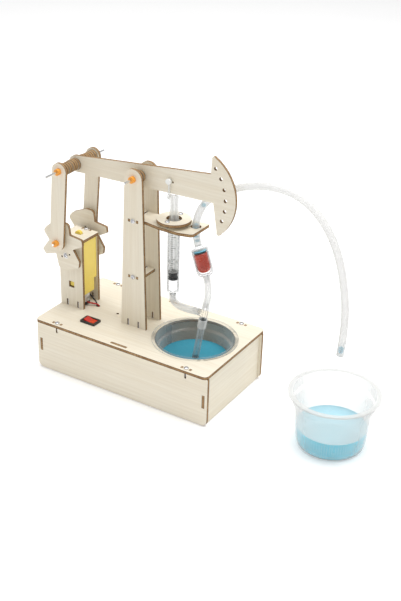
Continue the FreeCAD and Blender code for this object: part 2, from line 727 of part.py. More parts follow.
def bush_pair(point, start):
    near = ring_y(BUSH_DIAMETER / 2, AXLE / 2, point, -start - BUSH_LENGTH, -start)
    return Part.makeCompound(both_sides(near))


# ---------------------------------------------------------------- legs, platform and brace
def make_near_leg():
    half = LEG_FOOT / 2
    lean = math.atan((half - LEG_HEAD_RADIUS) / (PIVOT_Z - DECK_TOP))
    top = PIVOT_Z + LEG_HEAD_RADIUS
    side = LEG_HEAD_RADIUS - LEG_HEAD_RADIUS * math.tan(lean)
    round_top = 0.97 * LEG_HEAD_RADIUS
    corners = [(LEG_X - half, DECK_TOP, 0), (LEG_X + half, DECK_TOP, 0),
               (LEG_X + side, top, round_top), (LEG_X - side, top, round_top)]
    leg = sheet(corners, "xz", -PLATE_OUT)
    tab = block(LEG_X - 3.0, LEG_X + 3.0, -PLATE_OUT, -PLATE_IN, DECK_UNDER, DECK_TOP)
    leg = joined([leg, tab])
    tools = [along_y(AXLE / 2, PIVOT, -PLATE_OUT - 1, -PLATE_IN + 1)]
    for z in (PLATFORM_Z, BRACE_Z):
        for s in (-1, 1):
            x = LEG_X + s * JOINT_PITCH
            tools.append(block(x - SMALL_TAB / 2, x + SMALL_TAB / 2, -PLATE_OUT - 1, -PLATE_IN + 1,
                               z, z + PLY))
        tools.append(screw_hole(V(LEG_X, -PLATE_OUT, z + PLY / 2), Y_AXIS))
    for dx in LEG_SLITS:
        tools.append(block(LEG_X + dx - SCREW_SHANK / 2, LEG_X + dx + SCREW_SHANK / 2,
                           -PLATE_OUT - 1, -PLATE_IN + 1, DECK_TOP - 0.01, DECK_TOP + SLIT_DEPTH))
    return cut_all(leg, tools)


def leg_joint(z):
    """Tabs of a cross plate through both legs, and the slits for its screws."""
    tabs = []
    slits = []
    for s in (-1, 1):
        y0, y1 = sorted((s * PLATE_IN, s * PLATE_OUT))
        for t in (-1, 1):
            x = LEG_X + t * JOINT_PITCH
            tabs.append(block(x - SMALL_TAB / 2, x + SMALL_TAB / 2, y0, y1, z, z + PLY))
        y0, y1 = sorted((s * PLATE_IN, s * (PLATE_IN - SLIT_DEPTH)))
        slits.append(block(LEG_X - SCREW_SHANK / 2, LEG_X + SCREW_SHANK / 2, y0, y1, z - 1, z + PLY + 1))
    return tabs, slits


HOSE_HOLE = (39.3, 5.9)
HOSE_HOLE_RADIUS = 4.3
RING_SCREW_Y = 9.8
FLANGE_THICK = 2.5


def make_platform():
    """Shelf from between the legs, swelling round the syringe and wider at its far end."""
    near = [(-16.6, -PLATE_IN, 0.6), (2.0, -PLATE_IN, 8.0), (16.0, -12.0, 12.0), (34.0, -12.4, 10.0),
            (PLATFORM_END, -9.4, 3.5)]
    far = [(PLATFORM_END + 0.2, 16.4, 1.2), (16.0, 13.2, 12.0), (2.0, PLATE_IN, 6.0),
           (-16.6, PLATE_IN, 0.6)]
    plate = sheet(near + far, "xy", PLATFORM_Z)
    tabs, slits = leg_joint(PLATFORM_Z)
    plate = joined([plate] + tabs)
    low = PLATFORM_Z - 1
    high = PLATFORM_Z + PLY + 1
    tools = slits + [cylinder(BARREL_DIAMETER / 2 + 0.1, V(SYRINGE_X, 0, low), V(SYRINGE_X, 0, high)),
                     cylinder(HOSE_HOLE_RADIUS, V(*HOSE_HOLE, low), V(*HOSE_HOLE, high))]
    for s in (-1, 1):
        tools.append(screw_hole(V(SYRINGE_X, s * RING_SCREW_Y, PLATFORM_Z + PLY), -Z_AXIS))
    return cut_all(plate, tools)


def make_brace():
    corners = [(-16.2, -PLATE_IN, 0.6), (-1.4, -PLATE_IN, 0.6), (-1.4, PLATE_IN, 0.6),
               (-16.2, PLATE_IN, 0.6)]
    plate = sheet(corners, "xy", BRACE_Z)
    tabs, slits = leg_joint(BRACE_Z)
    return cut_all(joined([plate] + tabs), slits)


def flat_ring(outer, inner, z0, thick):
    ring = cylinder(outer, V(SYRINGE_X, 0, z0), V(SYRINGE_X, 0, z0 + thick))
    tools = [cylinder(inner, V(SYRINGE_X, 0, z0 - 1), V(SYRINGE_X, 0, z0 + thick + 1))]
    for s in (-1, 1):
        tools.append(screw_hole(V(SYRINGE_X, s * RING_SCREW_Y, z0 + thick), -Z_AXIS, thick + 2))
    return cut_all(ring, tools)


PLATFORM_TOP = PLATFORM_Z + PLY
CLAMP_RING_Z = PLATFORM_TOP + FLANGE_THICK
RING_TOP = CLAMP_RING_Z + PLY


def make_frame_screws():
    """All the identical small screws of the wooden frame."""
    screws = []
    for y in (-WALL_MID, WALL_MID):
        for x in (-JOINT_X, JOINT_X):
            screws.append(screw(V(x, y, DECK_TOP), V(0, 0, -1)))
    for x, y in post_screw_places():
        screws.append(screw(V(x, y, DECK_UNDER), V(0, 0, 1)))
    for y in (-PLATE_MID, PLATE_MID):
        screws.append(screw(V(TOWER_X, y, GEARBOX_TOP + PLY), V(0, 0, -1)))
    for s in (-1, 1):
        for z in (PLATFORM_Z, BRACE_Z):
            screws.append(screw(V(LEG_X, s * PLATE_OUT, z + PLY / 2), V(0, -s, 0)))
        screws.append(screw(V(SYRINGE_X, s * RING_SCREW_Y, RING_TOP), V(0, 0, -1)))
    return Part.makeCompound(screws)


# ---------------------------------------------------------------- syringe pump
SHOULDER_Z = 85.4
NOZZLE_Z = 75.5
STOPPER_Z = 96.2
STOPPER_LONG = 6.4
STEM_TOP = 169.0
STEM_HALF = 4.05
RIB = 1.0
PEG_Z = LINK_PIN[1] - LINK_LENGTH


def make_barrel():
    outer = BARREL_DIAMETER / 2
    inner = BARREL_BORE / 2
    top = PLATFORM_TOP + FLANGE_THICK
    profile = [(1.0, NOZZLE_Z), (1.9, NOZZLE_Z), (2.08, SHOULDER_Z - 2.2), (3.4, SHOULDER_Z - 2.0),
               (outer, SHOULDER_Z), (outer, PLATFORM_TOP), (8.2, PLATFORM_TOP), (8.2, top), (inner, top),
               (inner, SHOULDER_Z + 0.6), (1.0, SHOULDER_Z - 0.9)]
    return revolved(profile, V(SYRINGE_X, 0, 0))


def make_stopper():
    r = BARREL_BORE / 2 - 0.05
    z = STOPPER_Z
    top = z + STOPPER_LONG
    profile = [(0, z - 1.2), (r, z), (r, z + 1.4), (r - 0.7, z + 1.8), (r - 0.7, top - 1.9), (r, top - 1.4),
               (r, top), (0, top)]
    return revolved(profile, V(SYRINGE_X, 0, 0))


def make_plunger():
    """Cross-ribbed stem with a peg for the link on its top corner."""
    x = SYRINGE_X
    low = STOPPER_Z + STOPPER_LONG
    parts = [block(x - STEM_HALF, x + STEM_HALF, -RIB / 2, RIB / 2, low, STEM_TOP),
             block(x - RIB / 2, x + RIB / 2, -STEM_HALF, STEM_HALF, low, STEM_TOP),
             cylinder(STEM_HALF, V(x, 0, low), V(x, 0, low + 1.5)),
             cylinder(STEM_HALF, V(x, 0, low + 8), V(x, 0, low + 9)),
             block(LINK_PIN[0] - 1.4, x + RIB / 2, -1.3, RIB / 2, PEG_Z - 2.2, STEM_TOP),
             along_y(0.8, (LINK_PIN[0], PEG_Z), -3.4, 0)]
    return joined(parts)


def make_link():
    """Thin strip with an eye at each end, from the pin on the beam to the peg on the plunger."""
    peg = (LINK_PIN[0], PEG_Z)
    y0, y1 = -3.0, -1.7
    strip = block(peg[0] - 0.7, peg[0] + 0.7, y0, y1, PEG_Z, LINK_PIN[1])
    link = joined([strip, along_y(2.1, LINK_PIN, y0, y1), along_y(2.3, peg, y0, y1)])
    return cut_all(link, [along_y(LINK_PIN_RADIUS + AXLE_FIT, LINK_PIN, -5, 0), along_y(1.5, peg, -5, 0)])


def make_link_pin():
    shank = along_y(LINK_PIN_RADIUS, LINK_PIN, -3.35, PLY / 2)
    head = along_y(2.3, LINK_PIN, -4.4, -3.35)
    back = along_y(2.0, LINK_PIN, PLY / 2, PLY / 2 + 0.9)
    return joined([shank, head, back])


# ---------------------------------------------------------------- tubes and fittings
TEE = V(53.0, 0, 72.5)
TEE_TILT_DEG = 9.5
TEE_ARM = 5.0
TEE_COLLAR = 3.0
SPIGOT_RADIUS = 2.1
SPIGOT_LENGTH = 5.0
SUCTION_RADIUS = 2.9
SLEEVE_LENGTH = 7.5
UP = V(math.sin(math.radians(TEE_TILT_DEG)), 0, math.cos(math.radians(TEE_TILT_DEG)))
ACROSS = V(-UP.z, 0, UP.x)
VALVE_FOOT = V(52.1, 2.85, 105.6)
VALVE_HEAD = V(43.0, 4.4, 129.4)
VALVE_AXIS = (VALVE_HEAD - VALVE_FOOT).normalize()
VALVE_LENGTH = (VALVE_HEAD - VALVE_FOOT).Length


def make_tee():
    """Tee with a collar on each arm and a spigot that the tube slips over."""
    parts = [cylinder(TEE_COLLAR, TEE - UP * TEE_ARM, TEE + UP * TEE_ARM),
             cylinder(TEE_COLLAR, TEE, TEE + ACROSS * TEE_ARM)]
    tools = []
    for arm in (UP, -UP, ACROSS):
        tip = TEE + arm * (TEE_ARM + SPIGOT_LENGTH)
        parts.append(cylinder(SPIGOT_RADIUS, TEE, tip))
        tools.append(cylinder(1.2, TEE, tip + arm))
    return cut_all(joined(parts), tools)


def make_suction_sleeve():
    """Short soft sleeve that holds the suction tube on the tee."""
    top = TEE - UP * TEE_ARM
    return cylinder(3.7, top - UP * SLEEVE_LENGTH, top).cut(
        cylinder(SUCTION_RADIUS, top - UP * (SLEEVE_LENGTH + 1), top + UP))


def make_valve_housing():
    """Clear chamber, domed at its foot, with a spigot below and a socket above."""
    length = VALVE_LENGTH
    outer = 6.9
    inner = 6.1
    profile = [(1.2, -SPIGOT_LENGTH), (SPIGOT_RADIUS, -SPIGOT_LENGTH), (SPIGOT_RADIUS, 0), (3.4, 0),
               (5.2, 0.9), (6.4, 2.6), (outer, 5.0), (outer, length - 3.0), (6.5, length - 2.4),
               (3.1, length - 1.8), (3.1, length), (1.2, length), (1.2, length - 2.9),
               (inner, length - 3.6), (inner, 5.4), (5.3, 3.2), (3.6, 1.9), (1.2, 1.4)]
    return revolved(profile, VALVE_FOOT, VALVE_AXIS)


def make_valve_core():
    """Red valve body, rounded at its foot."""
    profile = [(1.4, 3.4), (3.0, 3.7), (4.5, 4.8), (5.5, 6.6), (5.8, 8.6), (5.8, 18.4), (5.2, 19.2),
               (1.4, 19.2)]
    return revolved(profile, VALVE_FOOT, VALVE_AXIS)


SUCTION_LENGTH = 58.5
SUCTION_FOOT = TEE - UP * (TEE_ARM + SUCTION_LENGTH)
FOOT_VALVE_LENGTH = 3.0
FOOT_VALVE_RADIUS = 3.2
BALL_RADIUS = 1.6
BALL_SEAT_RADIUS = 1.3


def make_suction_tube():
    top = TEE - UP * TEE_ARM
    return cylinder(SUCTION_RADIUS, SUCTION_FOOT, top).cut(cylinder(HOSE_BORE / 2, SUCTION_FOOT, top))


def make_foot_valve():
    """Seat on the end of the suction tube, with a hole that the ball closes."""
    foot = SUCTION_FOOT - UP * FOOT_VALVE_LENGTH
    seat = cylinder(FOOT_VALVE_RADIUS, foot, SUCTION_FOOT)
    return seat.cut(cylinder(BALL_SEAT_RADIUS, foot - UP, SUCTION_FOOT + UP))


def make_foot_valve_ball():
    lift = math.sqrt(BALL_RADIUS ** 2 - BALL_SEAT_RADIUS ** 2) + 0.25
    return Part.makeSphere(BALL_RADIUS, SUCTION_FOOT + UP * lift)


SYRINGE_HOSE = [(22.5, 0, 82.0), (22.7, 0, 76.2), (28.4, 0, 72.8), (39.0, 0, 72.6)]
VALVE_HOSE_MIDDLE = [(56.0, 0.9, 88.6), (54.2, 2.5, 100.2)]

# hand-picked route of the discharge hose, from the head of the valve to its open end
DISCHARGE = [(43.0, 4.4, 129.4), (41.04, 4.74, 134.53), (39.37, 5.3, 142.87), (39.98, 6.0, 152.35),
             (43.64, 6.7, 162.19), (51.37, 7.4, 172.01), (65.46, 7.9, 181.52), (96.0, 7.4, 192.9),
             (125.5, 6.4, 192.6), (148.5, 5.0, 178.5), (164.0, 3.6, 155.0), (172.6, 2.4, 124.0),
             (175.2, 1.6, 97.0), (173.6, 1.0, 74.0)]


def make_syringe_hose():
    end = TEE + ACROSS * TEE_ARM
    points = SYRINGE_HOSE + [(end.x, end.y, end.z)]
    return tube(points, HOSE, "syringe_hose", HOSE_BORE)


def make_valve_hose():
    start = TEE + UP * TEE_ARM
    lead = start + UP * 5.0
    end = VALVE_FOOT
    points = [tuple(start), tuple(lead)] + VALVE_HOSE_MIDDLE + [tuple(end)]
    return tube(points, HOSE, "valve_hose", HOSE_BORE)


# ---------------------------------------------------------------- cups and water
CUP_PROFILE = [(24.6, 0), (26.4, 1.6), (27.4, 5.0), (30.6, 36.5), (32.6, 38.2), (33.1, 45.3)]


def cup_profile():
    """Outer line, rolled rim, then the inner line one wall in."""
    inner = [(r - CUP_WALL, z) for r, z in CUP_PROFILE[1:]]
    inner[0] = (CUP_PROFILE[1][0] - CUP_WALL - 0.4, CUP_WALL)
    rim = [(CUP_RIM_RADIUS, 45.3), (CUP_RIM_RADIUS, CUP_HEIGHT), (32.1, CUP_HEIGHT)]
    return [(0, 0)] + CUP_PROFILE + rim + list(reversed(inner[:-1])) + [(0, CUP_WALL)]


def make_cup(x, y, z):
    return revolved(cup_profile(), V(x, y, z))


def inner_radius(height):
    lower, upper = CUP_PROFILE[2], CUP_PROFILE[3]
    share = (height - lower[1]) / (upper[1] - lower[1])
    return lower[0] + share * (upper[0] - lower[0]) - CUP_WALL


def make_water(x, y, z, level):
    profile = [(0, CUP_WALL), (CUP_PROFILE[1][0] - CUP_WALL - 0.4, CUP_WALL),
               (CUP_PROFILE[2][0] - CUP_WALL, 5.0), (inner_radius(level), level), (0, level)]
    return revolved(profile, V(x, y, z))


SUMP_Z = DECK_TOP - 45.3        # the rim of the cup rests on the deck


def make_sump_water():
    water = make_water(SUMP_X, 0, SUMP_Z, SUMP_WATER)
    foot = SUCTION_FOOT - UP * FOOT_VALVE_LENGTH
    return cut_all(water, [cylinder(FOOT_VALVE_RADIUS, foot, SUCTION_FOOT),
                           cylinder(SUCTION_RADIUS, SUCTION_FOOT, TEE)])


# ---------------------------------------------------------------- wires
MOTOR_SIDE_X = TOWER_X + 9.7
LEAD_Z = (MOTOR_FOOT_Z + CAN_FOOT_Z) / 2


def make_motor_lead_black():
    """From the motor, through the wire hole, to the upper battery contact."""
    z = cell_places()[1][1]
    return tube([(-66.0, 3.9, 54.5), (-61.0, 2.6, 51.8), (-56.0, 0.5, 50.6), (-55.4, 0.4, 43.0),
                 (-57.4, 5.0, 35.5), (LEAD_X, 17.5, z), (LEAD_X, LEAD_END_Y, z)], WIRE, "motor_lead_black")


def make_motor_lead_red():
    """From the motor, through the wire hole, to the left blade of the switch."""
    blade_top = DECK_TOP - 12.5
    return tube([(MOTOR_SIDE_X, -2.6, LEAD_Z), (-58.6, -1.6, 49.6), (-54.1, 1.2, 48.6), (-53.9, 1.5, 43.0),
                 (-52.0, -5.0, 33.0), (SWITCH_X - 4.0, -17.0, 30.5),
                 (SWITCH_X - 4.0, SWITCH_Y + 0.4, blade_top - 2.5)], WIRE, "motor_lead_red")


def make_battery_lead():
    """From the right blade of the switch to the lower battery contact."""
    z = cell_places()[0][1]
    blade_top = DECK_TOP - 12.5
    return tube([(SWITCH_X + 4.0, SWITCH_Y + 0.4, blade_top - 2.5), (SWITCH_X + 4.0, -15.0, 29.5),
                 (-46.0, 0.0, 19.0), (LEAD_X, 15.0, z), (LEAD_X, LEAD_END_Y, z)], WIRE, "battery_lead_red")


# ---------------------------------------------------------------- export
def build():
    near_plate = make_near_motor_plate()
    near_crank = make_near_crank()
    near_rod = make_near_rod()
    near_leg = make_near_leg()
    front_wall = make_long_wall()
    rod_pin = make_near_rod_pin()
    rod_bush = make_near_rod_bush()
    return {
        "deck": make_deck(),
        "front_wall": front_wall,
        "back_wall": mirrored(front_wall),
        "end_walls": Part.makeCompound([make_end_wall(-1), make_end_wall(1)]),
        "frame_screws": make_frame_screws(),
        "switch_bezel": make_switch_bezel(),
        "switch_rocker": make_rocker(),
        "battery_holder": make_battery_holder(),
        "battery_cells": make_cells(),
        "battery_contacts": make_contacts(),
        "red_wires": Part.makeCompound([make_motor_lead_red(), make_battery_lead()]),
        "black_wire": make_motor_lead_black(),
        "sump_cup": make_cup(SUMP_X, 0, SUMP_Z),
        "sump_water": make_sump_water(),
        "near_motor_plate": near_plate,
        "far_motor_plate": mirrored(near_plate),
        "tower_cap": make_tower_cap(),
        "gearbox_casing": make_gearbox_casing(),
        "motor_can": make_motor_can(),
        "motor_end_cap": make_motor_end_cap(),
        "near_leg": near_leg,
        "far_leg": mirrored(near_leg),
        "syringe_platform": make_platform(),
        "leg_brace": make_brace(),
        "clamp_ring": flat_ring(14.0, 6.3, CLAMP_RING_Z, PLY),
        "syringe_barrel": make_barrel(),
        "syringe_hose": make_syringe_hose(),
        "tee_connector": make_tee(),
        "suction_tube": make_suction_tube(),
        "suction_sleeve": make_suction_sleeve(),
        "foot_valve": make_foot_valve(),
        "foot_valve_ball": make_foot_valve_ball(),
        "valve_hose": make_valve_hose(),
        "valve_housing": make_valve_housing(),
        "valve_core": make_valve_core(),
        "discharge_hose": tube(DISCHARGE, HOSE, "discharge_hose"),
        "pivot_axle": along_y(AXLE / 2, PIVOT, -24.0, 20.5),
        "pivot_bushes": bush_pair(PIVOT, PLATE_OUT),
        "pivot_washers": make_pivot_washers(),
        "beam": make_beam(),
        "tail_axle": along_y(AXLE / 2, TAIL, TAIL_AXLE_NEAR, TAIL_AXLE_FAR),
        "tail_washers": make_tail_washers(),
        "tail_bushes": bush_pair(TAIL, ROD_OUT + 0.05),
        "plunger_pin": make_link_pin(),
        "plunger_link": make_link(),
        "plunger": make_plunger(),
        "plunger_stopper": make_stopper(),
        "motor_shaft": make_motor_shaft(),
        "near_crank": near_crank,
        "far_crank": mirrored(near_crank),
        "crank_screws": Part.makeCompound(both_sides(make_crank_screw())),
        "near_rod": near_rod,
        "near_rod_pin": rod_pin,
        "near_rod_bush": rod_bush,
        "far_rod": mirrored(near_rod),
        "far_rod_pin": mirrored(rod_pin),
        "far_rod_bush": mirrored(rod_bush),
        "receiving_cup": make_cup(RECEIVER_X, RECEIVER_Y, 0),
        "receiving_water": make_water(RECEIVER_X, RECEIVER_Y, 0, RECEIVER_WATER),
    }


def footprint_centre(shapes):
    """Centre, on the table, of everything apart from the free hose."""
    rigid = [shape for name, shape in shapes.items() if name != "discharge_hose"]
    box = Part.makeCompound(rigid).optimalBoundingBox()
    return V((box.XMin + box.XMax) / 2, (box.YMin + box.YMax) / 2, box.ZMin)


def main():
    os.makedirs("parts", exist_ok=True)
    shapes = build()
    origin = footprint_centre(shapes)
    for name, shape in shapes.items():
        shape = shape.copy()
        shape.translate(-origin)
        print(name, shape.ShapeType, len(shape.Solids), shape.isValid(), round(shape.Volume, 1))
        shape.exportStep("parts/" + name + ".step")
    print("origin in the layout", origin)
    print("pivot", PIVOT, "tail", TAIL, "crank pin", CRANK_PIN, "rod length", ROD_LENGTH)
    print("beam range", BEAM_LOW, BEAM_HIGH, "link pin", LINK_PIN)


main()
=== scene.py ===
import math

import bmesh
import bpy
from mathutils import Matrix, Vector


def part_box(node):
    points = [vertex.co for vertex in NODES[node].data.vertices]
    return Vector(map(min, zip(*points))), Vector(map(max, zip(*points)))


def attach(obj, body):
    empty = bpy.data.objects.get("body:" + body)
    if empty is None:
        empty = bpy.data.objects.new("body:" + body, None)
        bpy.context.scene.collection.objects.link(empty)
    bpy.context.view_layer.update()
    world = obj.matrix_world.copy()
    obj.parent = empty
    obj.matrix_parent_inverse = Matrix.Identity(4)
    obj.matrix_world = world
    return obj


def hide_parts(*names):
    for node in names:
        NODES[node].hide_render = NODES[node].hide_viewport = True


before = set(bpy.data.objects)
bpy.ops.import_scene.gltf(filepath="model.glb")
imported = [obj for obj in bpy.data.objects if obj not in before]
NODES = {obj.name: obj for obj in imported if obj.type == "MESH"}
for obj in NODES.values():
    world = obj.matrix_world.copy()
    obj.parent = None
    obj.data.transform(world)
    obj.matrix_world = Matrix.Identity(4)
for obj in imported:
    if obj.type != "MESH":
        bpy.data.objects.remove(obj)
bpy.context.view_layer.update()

MM = 0.001

# ---------------------------------------------------------------- the object's own frame
LAYOUT_ORIGIN_X = 57.55         # mm, from the centre of the base to the frame's origin


def at(x, y, z):
    """A place in mm from the centre of the base, as a point of the frame in metres."""
    return Vector(((x - LAYOUT_ORIGIN_X) * MM, y * MM, z * MM))


# ---------------------------------------------------------------- node helpers
class Shader:
    """A node material built step by step; each step returns its output socket."""

    def __init__(self, name):
        self.material = bpy.data.materials.new(name)
        self.material.use_nodes = True
        self.tree = self.material.node_tree
        self.bsdf = self.tree.nodes["Principled BSDF"]
        self.coords = self.tree.nodes.new("ShaderNodeTexCoord")

    def set(self, **values):
        for key, value in values.items():
            socket = self.bsdf.inputs[key.replace("_", " ").title().replace("Ior", "IOR")]
            is_rgb = isinstance(value, tuple) and len(value) == 3
            socket.default_value = (*value, 1.0) if is_rgb else value
        return self

    def link(self, source, target):
        self.tree.links.new(source, target)

    def feed(self, socket, value):
        """Sets a constant or links a socket."""
        if isinstance(value, bpy.types.NodeSocket):
            self.link(value, socket)
        elif isinstance(value, tuple) and len(value) == 3 and socket.type == "RGBA":
            socket.default_value = (*value, 1.0)
        else:
            socket.default_value = value

    def stretched(self, scale):
        """Object coordinates with a different scale along each axis."""
        mapping = self.tree.nodes.new("ShaderNodeMapping")
        self.link(self.coords.outputs["Object"], mapping.inputs["Vector"])
        mapping.inputs["Scale"].default_value = scale
        return mapping.outputs["Vector"]

    def noise(self, scale, detail=3.0, roughness=0.55, vector=None, distortion=0.0):
        node = self.tree.nodes.new("ShaderNodeTexNoise")
        self.link(vector or self.coords.outputs["Object"], node.inputs["Vector"])
        node.inputs["Scale"].default_value = scale
        node.inputs["Detail"].default_value = detail
        node.inputs["Roughness"].default_value = roughness
        node.inputs["Distortion"].default_value = distortion
        return node.outputs["Fac"]

    def ramp(self, factor, *stops):
        """Colour ramp through (position, colour) stops; a grey may be one number."""
        node = self.tree.nodes.new("ShaderNodeValToRGB")
        self.link(factor, node.inputs["Fac"])
        elements = node.color_ramp.elements
        while len(elements) < len(stops):
            elements.new(0.5)
        for element, (position, colour) in zip(elements, stops):
            element.position = position
            colour = (colour,) * 3 if isinstance(colour, (int, float)) else colour
            element.color = (*colour, 1.0)
        return node.outputs["Color"]

    def math(self, operation, a, b=0.0, clamp=False):
        node = self.tree.nodes.new("ShaderNodeMath")
        node.operation = operation
        node.use_clamp = clamp
        self.feed(node.inputs[0], a)
        self.feed(node.inputs[1], b)
        return node.outputs[0]

    def mix(self, factor, a, b, blend="MIX"):
        node = self.tree.nodes.new("ShaderNodeMix")
        node.data_type = "RGBA"
        node.blend_type = blend
        self.feed(node.inputs["Factor"], factor)
        self.feed(node.inputs[6], a)
        self.feed(node.inputs[7], b)
        return node.outputs[2]

    def part(self, vector, axis):
        node = self.tree.nodes.new("ShaderNodeSeparateXYZ")
        self.link(vector, node.inputs[0])
        return node.outputs[axis]

    def colour(self, value):
        self.feed(self.bsdf.inputs["Base Color"], value)
        return self

    def rough(self, value):
        self.feed(self.bsdf.inputs["Roughness"], value)
        return self

    def bump(self, height, strength, distance):
        node = self.tree.nodes.new("ShaderNodeBump")
        node.inputs["Strength"].default_value = strength
        node.inputs["Distance"].default_value = distance
        self.link(height, node.inputs["Height"])
        self.link(node.outputs["Normal"], self.bsdf.inputs["Normal"])
        return self

    def wear(self, low, high, scale):
        """Fine uneven roughness, from handling."""
        return self.ramp(self.noise(scale, 4.0), (0.3, low), (0.7, high))


# ---------------------------------------------------------------- wood
PLY = 2.5 * MM
FACE_PALE = (0.830, 0.775, 0.655)
FACE_DEEP = (0.660, 0.580, 0.445)
FACE_WARM = (0.760, 0.675, 0.520)
EDGE_TAN = (0.50, 0.33, 0.16)
EDGE_BROWN = (0.20, 0.105, 0.045)
EDGE_SOOT = (0.055, 0.026, 0.013)
# texture scales across the grain and along it
GRAIN = (520.0, 14.0)
PORES = (2600.0, 90.0)
GROWTH = (130.0, 5.0)
STRIAE = (1500.0, 60.0)
CLOUD_SCALE = 22.0
SCORCH_SCALE = 90.0


def along(axis, scales):
    """Texture scale on each axis: scales[1] on the given one, scales[0] on the other two."""
    across, lengthwise = scales
    return [lengthwise if k == axis else across for k in range(3)]


def plywood(name, thick_axis, grain_axis, start, mirrored_stack=False):
    """Basswood ply: pale grained faces, laser-burned edges with soot at both arrises."""
    s = Shader("plywood_" + name)
    grain = s.noise(1.0, 5.0, 0.62, s.stretched(along(grain_axis, GRAIN)), 0.35)
    pores = s.noise(1.0, 2.0, 0.5, s.stretched(along(grain_axis, PORES)))
    growth = s.noise(1.0, 3.0, 0.55, s.stretched(along(grain_axis, GROWTH)), 0.6)
    clouds = s.noise(CLOUD_SCALE, 2.0)
    tone = s.mix(s.ramp(grain, (0.30, 0.0), (0.78, 0.62)), FACE_PALE, FACE_DEEP)
    tone = s.mix(s.ramp(growth, (0.42, 0.0), (0.68, 0.38)), tone, FACE_WARM)
    tone = s.mix(s.ramp(pores, (0.56, 0.0), (0.80, 0.42)), tone, FACE_DEEP)
    tone = s.mix(s.ramp(clouds, (0.35, 0.0), (0.75, 0.20)), tone, FACE_WARM)
    # cut edges: striations run through the thickness
    burn = s.noise(1.0, 3.0, 0.6, s.stretched(along(thick_axis, STRIAE)))
    patches = s.noise(SCORCH_SCALE, 2.0)
    burnt = 0.40 if mirrored_stack else 1.0
    edge = s.mix(s.ramp(burn, (0.30, 0.0), (0.72, burnt)), EDGE_TAN, EDGE_BROWN)
    edge = s.mix(s.ramp(patches, (0.35, 0.0), (0.75, 0.75 * burnt)), edge, EDGE_BROWN)
    depth = s.part(s.coords.outputs["Object"], thick_axis)
    if mirrored_stack:
        depth = s.math("ABSOLUTE", depth)
    share = s.math("FRACT", s.math("DIVIDE", s.math("SUBTRACT", depth, start), PLY))
    from_middle = s.math("MULTIPLY", s.math("ABSOLUTE", s.math("SUBTRACT", share, 0.5)), 2.0)
    soot_from, soot_full = (0.30, 0.72) if mirrored_stack else (0.58, 0.86)
    edge = s.mix(s.ramp(from_middle, (soot_from, 0.0), (soot_full, 0.97)), edge, EDGE_SOOT)
    facing = s.math("ABSOLUTE", s.part(s.coords.outputs["Normal"], thick_axis))
    is_face = s.ramp(facing, (0.45, 0.0), (0.55, 1.0))
    s.colour(s.mix(is_face, edge, tone))
    s.rough(s.mix(is_face, (0.85,) * 3, s.ramp(grain, (0.3, 0.52), (0.7, 0.66))))
    s.set(specular_ior_level=0.32)
    s.bump(s.mix(is_face, burn, s.mix(0.5, grain, pores)), 0.25, 0.0002)
    return s.material


X, Y, Z = 0, 1, 2
WOOD = {
    "deck": (Z, X), "front_wall": (Y, X), "back_wall": (Y, X), "end_walls": (X, Y),
    "near_motor_plate": (Y, Z), "far_motor_plate": (Y, Z), "tower_cap": (Z, X),
    "near_leg": (Y, Z), "far_leg": (Y, Z), "syringe_platform": (Z, X), "leg_brace": (Z, X),
    "clamp_ring": (Z, X), "beam": (Y, X), "near_crank": (Y, X),
    "far_crank": (Y, X), "near_rod": (Y, Z), "far_rod": (Y, Z),
}
# the washers nearest the middle start this far from it
WOOD_STACKS = {"tail_washers": 1.3 * MM, "pivot_washers": 1.9 * MM}


def dress(node, material):
    """Gives a CAD node's every slot one material."""
    mesh = NODES[node].data
    mesh.materials.clear()
    mesh.materials.append(material)


def dress_wood():
    for node, (thick, grain) in WOOD.items():
        low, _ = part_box(node)
        dress(node, plywood(node, thick, grain, low[thick]))
    for node, start in WOOD_STACKS.items():
        dress(node, plywood(node, Y, X, start, True))


# ---------------------------------------------------------------- plastics and metals
def moulded(name, colour, low=0.28, high=0.42, spread=0.12, bump=0.04):
    """Injection-moulded plastic with slight tone and gloss variation."""
    s = Shader(name)
    darker = tuple(c * (1.0 - spread) for c in colour)
    s.colour(s.mix(s.ramp(s.noise(70.0, 3.0), (0.35, 0.0), (0.7, 1.0)), colour, darker))
    s.rough(s.wear(low, high, 180.0))
    s.bump(s.noise(2600.0, 2.0), bump, 0.00005)
    return s


BRUSH_LINES = (2200.0, 70.0)


def brushed(name, colour, axis, low=0.22, high=0.40):
    """Drawn or brushed metal, its lines along one axis."""
    s = Shader(name)
    lines = s.noise(1.0, 4.0, 0.6, s.stretched(along(axis, BRUSH_LINES)))
    darker = tuple(c * 0.78 for c in colour)
    s.colour(s.mix(s.ramp(lines, (0.3, 0.0), (0.7, 1.0)), colour, darker))
    s.rough(s.ramp(lines, (0.3, low), (0.7, high)))
    s.set(metallic=1.0)
    s.bump(lines, 0.10, 0.00003)
    return s


def clear(name, tint, centre_alpha, edge_alpha, roughness, blend, ior=1.45, level=None, onset=0.05):
    """Clear plastic: see-through where it faces the eye and denser towards its edges.

    level is the alpha of flat, level parts. onset is how far towards the edge the density starts.
    """
    s = Shader(name)
    s.colour(tint)
    weight = s.tree.nodes.new("ShaderNodeLayerWeight")
    weight.inputs["Blend"].default_value = blend
    haze = s.ramp(s.noise(240.0, 3.0), (0.35, 0.97), (0.7, 1.03))
    alpha = s.ramp(weight.outputs["Facing"], (onset, centre_alpha), (0.95, edge_alpha))
    if level is not None:
        upright = s.math("ABSOLUTE", s.part(s.coords.outputs["Normal"], 2))
        alpha = s.mix(s.ramp(upright, (0.90, 0.0), (0.98, 1.0)), alpha, (level,) * 3)
    s.feed(s.bsdf.inputs["Alpha"], s.math("MULTIPLY", alpha, haze, True))
    s.rough(s.wear(roughness * 0.7, roughness * 1.5, 120.0))
    s.set(ior=ior)
    return s


